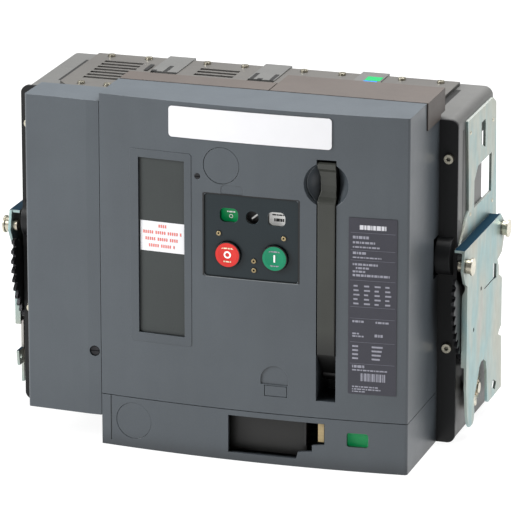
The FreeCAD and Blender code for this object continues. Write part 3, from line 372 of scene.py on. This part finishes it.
# ---------------------------------------------------------------- small pieces, in millimetres
def piece(name, work, material, body):
    """Turns a bmesh in millimetres into a piece that rides a body."""
    bmesh.ops.scale(work, vec=(MM, MM, MM), verts=work.verts)
    bmesh.ops.recalc_face_normals(work, faces=work.faces)
    mesh = bpy.data.meshes.new(name)
    work.to_mesh(mesh)
    work.free()
    made = bpy.data.objects.new(name, mesh)
    bpy.context.scene.collection.objects.link(made)
    mesh.materials.append(MATERIALS[material])
    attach(made, body)
    return made


def add_prism(work, front_points, back_points):
    """Joins a front loop and a back loop of points into a closed solid."""
    front = [work.verts.new(point) for point in front_points]
    back = [work.verts.new(point) for point in back_points]
    work.faces.new(front)
    work.faces.new(back[::-1])
    for index in range(len(front)):
        after = (index + 1) % len(front)
        work.faces.new((front[index], back[index], back[after], front[after]))


def add_flat(work, outline, y, depth):
    """A thin plate that faces the front, from its outline in X and Z."""
    add_prism(work, [(x, y, z) for x, z in outline], [(x, y + depth, z) for x, z in outline])


def add_curved_bar(work, x0, x1, z0, z1, proud, depth=0.15, stride=6.0):
    """A printed bar that follows the bowed front."""
    steps = max(1, math.ceil((x1 - x0) / stride))
    columns = [x0 + (x1 - x0) * step / steps for step in range(steps + 1)]
    for left, right in zip(columns, columns[1:]):
        corners = [(left, z0), (right, z0), (right, z1), (left, z1)]
        add_prism(work, [(x, surface_y(x, proud), z) for x, z in corners],
                  [(x, surface_y(x, proud) + depth, z) for x, z in corners])


def rounded_outline(x0, x1, z0, z1, radius, steps=5):
    points = []
    for cx, cz, start in ((x1 - radius, z1 - radius, 0), (x0 + radius, z1 - radius, 90),
                          (x0 + radius, z0 + radius, 180), (x1 - radius, z0 + radius, 270)):
        for step in range(steps + 1):
            angle = math.radians(start + 90 * step / steps)
            points.append((cx + radius * math.cos(angle), cz + radius * math.sin(angle)))
    return points


def add_ring(work, x, z, y, inner, outer, depth, along="Y", steps=40):
    """A flat ring that faces the front, or the side when it runs along X."""
    rows = []
    for step in range(steps):
        angle = 2 * math.pi * step / steps
        row = []
        for radius, place in ((inner, 0), (outer, 0), (outer, depth), (inner, depth)):
            across, up = radius * math.cos(angle), radius * math.sin(angle)
            where = (x + across, y + place, z + up) if along == "Y" else (x + place, y + across, z + up)
            row.append(work.verts.new(where))
        rows.append(row)
    for step in range(steps):
        now, following = rows[step], rows[(step + 1) % steps]
        for side in range(4):
            work.faces.new((now[side], now[(side + 1) % 4], following[(side + 1) % 4], following[side]))


WORD_LENGTHS = (3.1, 1.7, 4.2, 2.4, 3.6, 1.3, 2.9, 4.6)


def words(x0, x1, first=0, gap=0.8):
    """Left and right ends of blocks that stand for printed wording between two X."""
    x = x0
    number = first
    while x < x1 - 1:
        end = min(x1, x + WORD_LENGTHS[number % len(WORD_LENGTHS)])
        yield x, end
        x = end + gap
        number += 1


# ---------------------------------------------------------------- rating label and notice
LABEL_PROUD = 0.66
TITLE_HEIGHT = 4
LABEL_TEXT = (                     # bottom, height, left, right, first word
    (276.5, 5.0, 179, 208, 2), (266.0, 3.2, 171.5, 189, 0), (260.6, 2.4, 171.5, 197, 3),
    (255.8, 1.8, 171.5, 201, 1), (248.6, 2.8, 171.5, 186, 4), (244.2, 1.6, 171.5, 203, 2),
    (236.0, 2.4, 171.5, 199, 5), (232.0, 2.2, 175, 190, 1), (228.0, 2.2, 171.5, 187, 0),
    (223.6, 2.6, 171.5, 212, 6), (171.5, 2.4, 171.5, 184, 3), (171.5, 2.2, 197, 212, 1),
    (158.0, 1.8, 171.5, 180, 2), (155.0, 1.8, 171.5, 184, 4), (156.0, 3.2, 196, 205, 0),
    (120.0, 3.0, 171.5, 185, 5), (116.6, 1.6, 171.5, 210, 7), (97.6, 1.6, 171.5, 200, 3),
    (94.8, 1.6, 171.5, 204, 5), (92.2, 1.4, 171.5, 186, 1),
)
LABEL_RULES = (272.6, 253.0, 241.5, 219.0, 189.0, 176.0, 149.0, 124.5)


def rating_label():
    """Plain blocks in rows and columns, and stripes, in place of printed data."""
    ink = bmesh.new()
    title = bmesh.new()
    for low, height, left, right, first in LABEL_TEXT:
        for x0, x1 in words(left, right, first):
            target = title if height > TITLE_HEIGHT else ink
            add_curved_bar(target, x0, x1, low, low + height, LABEL_PROUD)
    piece("label_title", title, "bright_ink", "root")
    for row in range(5):           # a table
        for column in range(4):
            x = 172.5 + 11.6 * column
            width = 4.6 + (row + column) % 3
            add_curved_bar(ink, x, x + width, 212 - 5.0 * row, 213.9 - 5.0 * row, LABEL_PROUD)
    for row in range(4):           # two short columns
        for x, width in ((171.5, 6.5), (193, 12.0 - row)):
            add_curved_bar(ink, x, x + width, 143.5 - 4.6 * row, 145.5 - 4.6 * row, LABEL_PROUD)
    x = 181.0
    for number in range(13):       # plain stripes
        width = (1.5, 0.7, 2.1, 1.0)[number % 4]
        add_curved_bar(ink, x, x + width, 105, 114, LABEL_PROUD)
        x += width + (0.7, 1.1, 0.6)[number % 3]
    piece("label_marks", ink, "label_ink", "root")
    rules = bmesh.new()
    for z in LABEL_RULES:
        add_curved_bar(rules, 169, 218, z, z + 0.5, LABEL_PROUD)
    piece("label_rules", rules, "label_rule", "root")


NOTICE_ROWS = ((257.0, -50, -41), (249.5, -68, -23.5), (242.0, -65.5, -26), (234.5, -61.5, -30))
NOTICE_PROUD = -1.85


def notice_label():
    """Red marks in four rows, with no wording."""
    marks = bmesh.new()
    for low, left, right in NOTICE_ROWS:
        x = left
        number = 0
        while x < right - 1:
            add_curved_bar(marks, x, x + 1.5, low + 0.4, low + 3.9, NOTICE_PROUD)
            number += 1
            x += 4.4 if number % 5 == 0 else 2.5
    piece("notice_marks", marks, "red_ink", "root")


# ---------------------------------------------------------------- control panel
SEAM_PROUD = 0.08


def panel_seam_shadow():
    """Painted shadow as black strips in the gap around the control bezel, and a painted highlight on the
    lip below it.
    """
    low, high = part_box("control_bezel")
    left, right, bottom, top = low.x / MM, high.x / MM, low.z / MM, high.z / MM
    seam_shadow = bmesh.new()
    for x0, x1, z0, z1 in ((left - 1.3, left + 0.6, bottom, top), (right - 0.6, right + 1.1, bottom, top),
                           (left, right, bottom - 0.4, bottom + 0.2), (left, right, top - 0.2, top + 0.8)):
        add_curved_bar(seam_shadow, x0, x1, z0, z1, SEAM_PROUD)
    piece("panel_seam_shadow", seam_shadow, "black_flag", "root")
    # painted highlight: a pale line on the lip below the bezel
    lit = bmesh.new()
    add_curved_bar(lit, left + 2, right, bottom - 1.2, bottom - 0.5, SEAM_PROUD)
    piece("panel_lip_highlight", lit, "bright_edge", "root")


SYMBOL_DEPTH = 0.50                # of a symbol's face below the highest point of its button
WORDING_DEPTH = 0.12


def button_wording(button, rows, first, material):
    """Rows of plain blocks on a button, above and below its symbol."""
    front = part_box(button)[0].y / MM + WORDING_DEPTH
    wording = bmesh.new()
    for z, left, right in rows:
        for x0, x1 in words(left, right, first, 0.7):
            add_flat(wording, rounded_outline(x0, x1, z, z + 1.6, 0.4, 2), front, 1.0)
    piece(f"{button.split('_')[0]}_wording", wording, material, button)


def control_marks():
    """IEC symbols and plain blocks for wording on the two buttons."""
    ring = bmesh.new()
    add_ring(ring, 31.3, 236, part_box("open_button")[0].y / MM + SYMBOL_DEPTH, 2.3, 4.1, 0.6)
    piece("open_symbol", ring, "white_flag", "open_button")
    button_wording("open_button", ((242.6, 24.6, 38.4), (227.6, 27.0, 35.6)), 1, "pale_ink")
    bar = bmesh.new()
    add_flat(bar, rounded_outline(83.8, 85.6, 232.3, 240.6, 0.4, 3),
             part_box("close_button")[0].y / MM + SYMBOL_DEPTH, 0.6)
    piece("close_symbol", bar, "white_flag", "close_button")
    button_wording("close_button", ((243.6, 77.6, 91.8), (227.4, 80.0, 90.2)), 0, "label_ink")


FLAG_SPLIT = 288.4
FLAG_TOP = 306.8
FILM = 0.12                        # how far each printed layer stands out
MARK_DEPTH = 0.13


def flag_marks():
    """Marks on the two halves of each flag; the upper half shows when the flag has moved down."""
    face_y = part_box("contact_flag")[0].y / MM
    skin, ink = face_y - FILM, face_y - 2 * FILM
    halves = (("contact_flag", 32, 11.3, "red_flag"), ("ready_flag", 58.7, 8.8, "white_flag"),
              ("spring_flag", 86, 10.8, "yellow_mark"))
    for body, x, half, colour in halves:
        plate = bmesh.new()
        add_flat(plate, rounded_outline(x - half, x + half, FLAG_SPLIT, FLAG_TOP, 0.6, 2), skin, FILM)
        piece(f"{body}_upper", plate, colour, body)
    marks = bmesh.new()
    add_ring(marks, 31.5, 276.4, skin, 1.5, 2.3, MARK_DEPTH)
    for x0, x1 in words(27.0, 36.5, 1, 0.5):
        add_flat(marks, rounded_outline(x0, x1, 280.6, 282.2, 0.3, 2), skin, MARK_DEPTH)
    add_flat(marks, rounded_outline(31.2, 32.8, 293.0, 301.0, 0.3, 2), ink, MARK_DEPTH)
    piece("contact_flag_marks", marks, "white_flag", "contact_flag")
    stroke = bmesh.new()
    add_flat(stroke, [(54.5, 276.0), (55.9, 274.9), (64.4, 281.9), (63.0, 283.2)], skin, MARK_DEPTH)
    piece("ready_flag_stroke", stroke, "white_flag", "ready_flag")
    tick = bmesh.new()
    corners = [(55.0, 297.5), (57.4, 294.0), (63.4, 301.0), (62.2, 302.0), (57.5, 296.6), (56.2, 298.4)]
    add_flat(tick, corners, ink, MARK_DEPTH)
    piece("ready_flag_tick", tick, "black_flag", "ready_flag")
    dark = bmesh.new()
    for z, height, left, right, first in ((281.6, 1.5, 78.5, 93.5, 2), (275.0, 3.4, 80.5, 92.0, 1),
                                          (294.5, 3.2, 80.5, 92.0, 4)):
        for x0, x1 in words(left, right, first, 0.5):
            y = ink if z > FLAG_SPLIT else skin
            add_flat(dark, rounded_outline(x0, x1, z, z + height, 0.3, 2), y, MARK_DEPTH)
    piece("spring_flag_marks", dark, "black_flag", "spring_flag")


# ---------------------------------------------------------------- trim of the sides and the top
SIDE_FACE = 251.02                 # just clear of the housing's side
RIVETS = ((172, 250), (170, 344), (266, 240), (266, 334))      # distance from the front plane, height
RIVET_PROFILE = ((2.45, 0.0), (2.45, 0.5), (2.1, 1.0), (1.3, 1.4))      # radius, distance out
RIVET_STEPS = 20


def add_side_sheet(work, side, outline, thickness):
    """A sheet on one side of the housing, from its outline in Y and Z."""
    near, far = side * SIDE_FACE, side * (SIDE_FACE + thickness)
    add_prism(work, [(near, y, z) for y, z in outline], [(far, y, z) for y, z in outline])


def add_top_sheet(work, x0, x1, from_front, to_front, z, thickness, radius):
    """A sheet that lies on top of the housing, between two distances from the front plane."""
    outline = rounded_outline(x0, x1, FRONT_PLANE + from_front, FRONT_PLANE + to_front, radius, 3)
    add_prism(work, [(x, y, z + thickness) for x, y in outline], [(x, y, z) for x, y in outline])


def side_trim():
    """Black sheets painted as the shade inside grooves on the housing's sides, shrouds, and hubs on the
    ends of the cross shaft.
    """
    low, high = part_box("cross_shaft")
    centre_y, centre_z = FRONT_PLANE + 181, (low.z + high.z) / 2 / MM
    for side, name in ((1, "right"), (-1, "left")):
        # painted shade: a black sheet down each side as the shade inside the grooves
        groove_shadow = bmesh.new()
        front = FRONT_PLANE + 148
        add_side_sheet(groove_shadow, side, [(front, 240), (front + 5, 240), (front + 5, 352), (front, 352)], 0.1)
        piece(f"housing_groove_shadow_{name}", groove_shadow, "black_flag", "root")
        shroud = bmesh.new()
        front = FRONT_PLANE + 122.2
        outline = [(front, 70), (front + 42, 70), (front + 42, 214), (front + 30, 240), (front + 14, 253),
                   (front, 255)]
        add_side_sheet(shroud, side, outline, 0.88)
        piece(f"side_shroud_{name}", shroud, "flange_plastic", "root")
        hub = bmesh.new()
        add_ring(hub, side * 261.25, centre_z, centre_y, 6.1, 9.0, side * 1.6, "X")
        piece(f"hub_{name}", hub, "brass", "cross_shaft")


def add_rivet(work, side, face, centre_y, centre_z):
    """A domed head that stands out from a side plate."""
    angles = [2 * math.pi * step / RIVET_STEPS for step in range(RIVET_STEPS)]
    rings = []
    for radius, proud in RIVET_PROFILE:
        rings.append([work.verts.new((face + side * proud, centre_y + radius * math.cos(angle),
                                      centre_z + radius * math.sin(angle))) for angle in angles])
    for inner, outer in zip(rings, rings[1:]):
        for step in range(RIVET_STEPS):
            after = (step + 1) % RIVET_STEPS
            work.faces.new((inner[step], inner[after], outer[after], outer[step]))
    work.faces.new(rings[0][::-1])
    work.faces.new(rings[-1])


def plate_rivets():
    """Domed rivets in the four fixing holes of each upper plate."""
    for side, name in ((1, "right"), (-1, "left")):
        low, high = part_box(f"side_plate_{name}")
        face = side * (max(abs(low.x), abs(high.x)) / MM - 0.6)
        heads = bmesh.new()
        for from_front, z in RIVETS:
            add_rivet(heads, side, face, FRONT_PLANE + from_front, z)
        piece(f"plate_rivets_{name}", heads, "zinc_steel", "root")


KEEPER_MIDDLES = (-125.5, 0.0, 125.5)      # X of each group of keeper slots
KEEPERS = ((-14, -9.2, 207, 233), (9.2, 14, 207, 233), (-5, 1, 206, 212))
SLITS = (-219.5, 218)
RIB_HEIGHT = 5.0
STICKERS = (                       # name, material, slot, X from and to, distances from the front plane
    ("sticker_green", "green_flag", "green_button", 111, 129, 239, 256),
    ("sticker_blue", "blue_mark", "label_dark", 111, 127, 219, 238),
)


def keeper_slot_shadows(top):
    """Black sheets painted as the shade inside three groups of two slots and a square, and inside the long
    slits beside the outer chutes.
    """
    # painted shade: black sheets over the openings
    dark = bmesh.new()
    for middle in KEEPER_MIDDLES:
        for x0, x1, from_front, to_front in KEEPERS:
            add_top_sheet(dark, middle + x0, middle + x1, from_front, to_front, top, 0.1, 0.8)
    for slit in SLITS:
        add_top_sheet(dark, slit - 3.2, slit + 3.2, 154, 248, top - RIB_HEIGHT, 0.1, 1.0)
    piece("keeper_slot_shadows", dark, "black_flag", "root")


def stickers(top):
    """Two small stickers on the third divider rib of the housing."""
    for name, colour, slot, x0, x1, from_front, to_front in STICKERS:
        sheet = bmesh.new()
        add_top_sheet(sheet, x0, x1, from_front, to_front, top, 0.15, 1.0)
        piece(name, sheet, colour, "root")


rating_label()
notice_label()
panel_seam_shadow()
control_marks()
flag_marks()
side_trim()
plate_rivets()
housing_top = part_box("housing_rear")[1].z / MM + 0.02
keeper_slot_shadows(housing_top)
stickers(housing_top)


# ---------------------------------------------------------------- stage, in metres
FLOOR_GLOW = 0.92
WORLD_STRENGTH = 0.36
LIGHTS = (                         # name, place, target, width, height, power
    ("key", (-1.5, -1.1, 1.1), (0, -0.1, 0.2), 0.9, 1.1, 43),
    ("top", (0.25, 0.5, 2.2), (0, 0, 0.2), 1.6, 1.6, 112),
    ("rim", (2.0, 0.2, 1.9), (0.2, 0, 0.3), 0.8, 1.4, 4),
)
AZIMUTH, ELEVATION = 17.67, 17.10  # of the camera, in degrees
DISTANCE = 4.95
LENS = 315.8                       # millimetres, on a sensor 36 wide


def stage():
    """A pale floor that gives off light of its own, so that it stays white behind the breaker."""
    mesh = bpy.data.meshes.new("floor")
    mesh.from_pydata([(-6, -6, 0), (6, -6, 0), (6, 6, 0), (-6, 6, 0)], [], [(0, 1, 2, 3)])
    floor = bpy.data.objects.new("floor", mesh)
    bpy.context.scene.collection.objects.link(floor)
    paper = Shader("floor_paper")
    paper.colour(paper.ramp(paper.noise(2), [(0.3, (0.15, 0.15, 0.15)), (0.7, (0.16, 0.16, 0.16))]))
    paper.set("Emission Color", (1, 1, 1, 1))
    paper.set("Emission Strength", FLOOR_GLOW)
    paper.set("Specular IOR Level", 0.1)
    paper.set("Roughness", 0.9)
    mesh.materials.append(paper.material)


def area_light(name, location, target, width, height, power):
    data = bpy.data.lights.new(name, "AREA")
    data.shape = "RECTANGLE"
    data.size = width
    data.size_y = height
    data.energy = power
    lamp = bpy.data.objects.new(name, data)
    lamp.location = location
    direction = Vector(target) - Vector(location)
    lamp.rotation_euler = direction.to_track_quat("-Z", "Y").to_euler()
    bpy.context.scene.collection.objects.link(lamp)


def lights():
    world = bpy.data.worlds.new("studio")
    world.use_nodes = True
    background = world.node_tree.nodes["Background"]
    background.inputs["Color"].default_value = (1, 1, 1, 1)
    background.inputs["Strength"].default_value = WORLD_STRENGTH
    bpy.context.scene.world = world
    for row in LIGHTS:
        area_light(*row)


def camera():
    """Camera at the photograph's angle; the aim is a point on the front cover's plane."""
    azimuth, elevation = math.radians(AZIMUTH), math.radians(ELEVATION)
    aim = Vector((0.0647, FRONT_PLANE * MM, 0.2299))
    back = Vector((math.sin(azimuth) * math.cos(elevation), -math.cos(azimuth) * math.cos(elevation),
                   math.sin(elevation)))
    data = bpy.data.cameras.new("camera")
    data.sensor_width = 36
    data.lens = LENS
    data.clip_end = 30
    made = bpy.data.objects.new("camera", data)
    made.location = aim + back * DISTANCE
    made.rotation_euler = (-back).to_track_quat("-Z", "Y").to_euler()
    bpy.context.scene.collection.objects.link(made)
    bpy.context.scene.camera = made


stage()
lights()
camera()
bpy.context.scene.view_settings.view_transform = "Standard"
